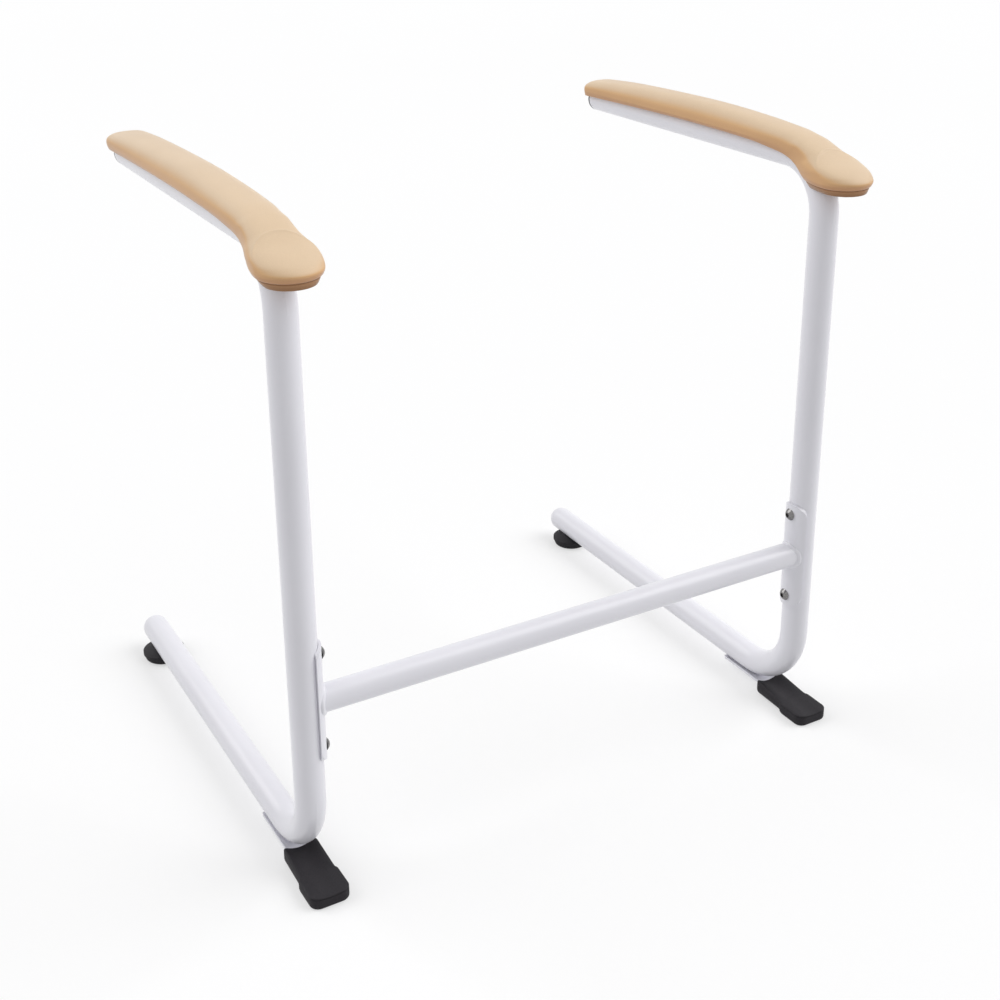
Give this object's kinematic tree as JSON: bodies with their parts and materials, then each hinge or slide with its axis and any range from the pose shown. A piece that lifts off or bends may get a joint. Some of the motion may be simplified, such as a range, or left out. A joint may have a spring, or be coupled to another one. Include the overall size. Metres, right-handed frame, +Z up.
{
  "type": "couch standing aid",
  "caption": "Free-standing support frame with bent tube sides, a bolted crossbar and moulded foam armrests, for pushing up from a couch or chair.",
  "frame": {"origin": "on the floor, at the bottom centre of the bounding box", "axes": "+X from the left side frame to the right one, +Y from the toe boots to the back ends of the floor legs, +Z up"},
  "size_m": [0.692, 0.5984, 0.7116],
  "materials": {
    "white_coat": "smooth white powder coat",
    "bolt_chrome": "bright chrome",
    "zinc_steel": "zinc plated",
    "black_rubber": "matte, finely grained",
    "black_plastic": "satin",
    "tan_foam": "matte self-skinned foam with a fine grain"
  },
  "bodies": {
    "root": {"left_side_tube": "white_coat", "right_side_tube": "white_coat", "crossbar_tube": "white_coat", "left_saddle_plate": "white_coat", "right_saddle_plate": "white_coat", "crossbar_welds": "white_coat", "saddle_bolts": "bolt_chrome", "saddle_nuts": "zinc_steel", "left_foot_plate": "white_coat", "right_foot_plate": "white_coat", "left_front_boot": "black_rubber", "right_front_boot": "black_rubber", "left_rear_foot": "black_rubber", "right_rear_foot": "black_rubber", "rear_foot_screws": "zinc_steel", "rear_foot_nuts": "zinc_steel", "left_handle_plug": "black_plastic", "right_handle_plug": "black_plastic", "left_handle_pad": "tan_foam", "right_handle_pad": "tan_foam", "left_pad_core": "zinc_steel", "right_pad_core": "zinc_steel", "pad_screws": "zinc_steel"}
  },
  "joints": []
}
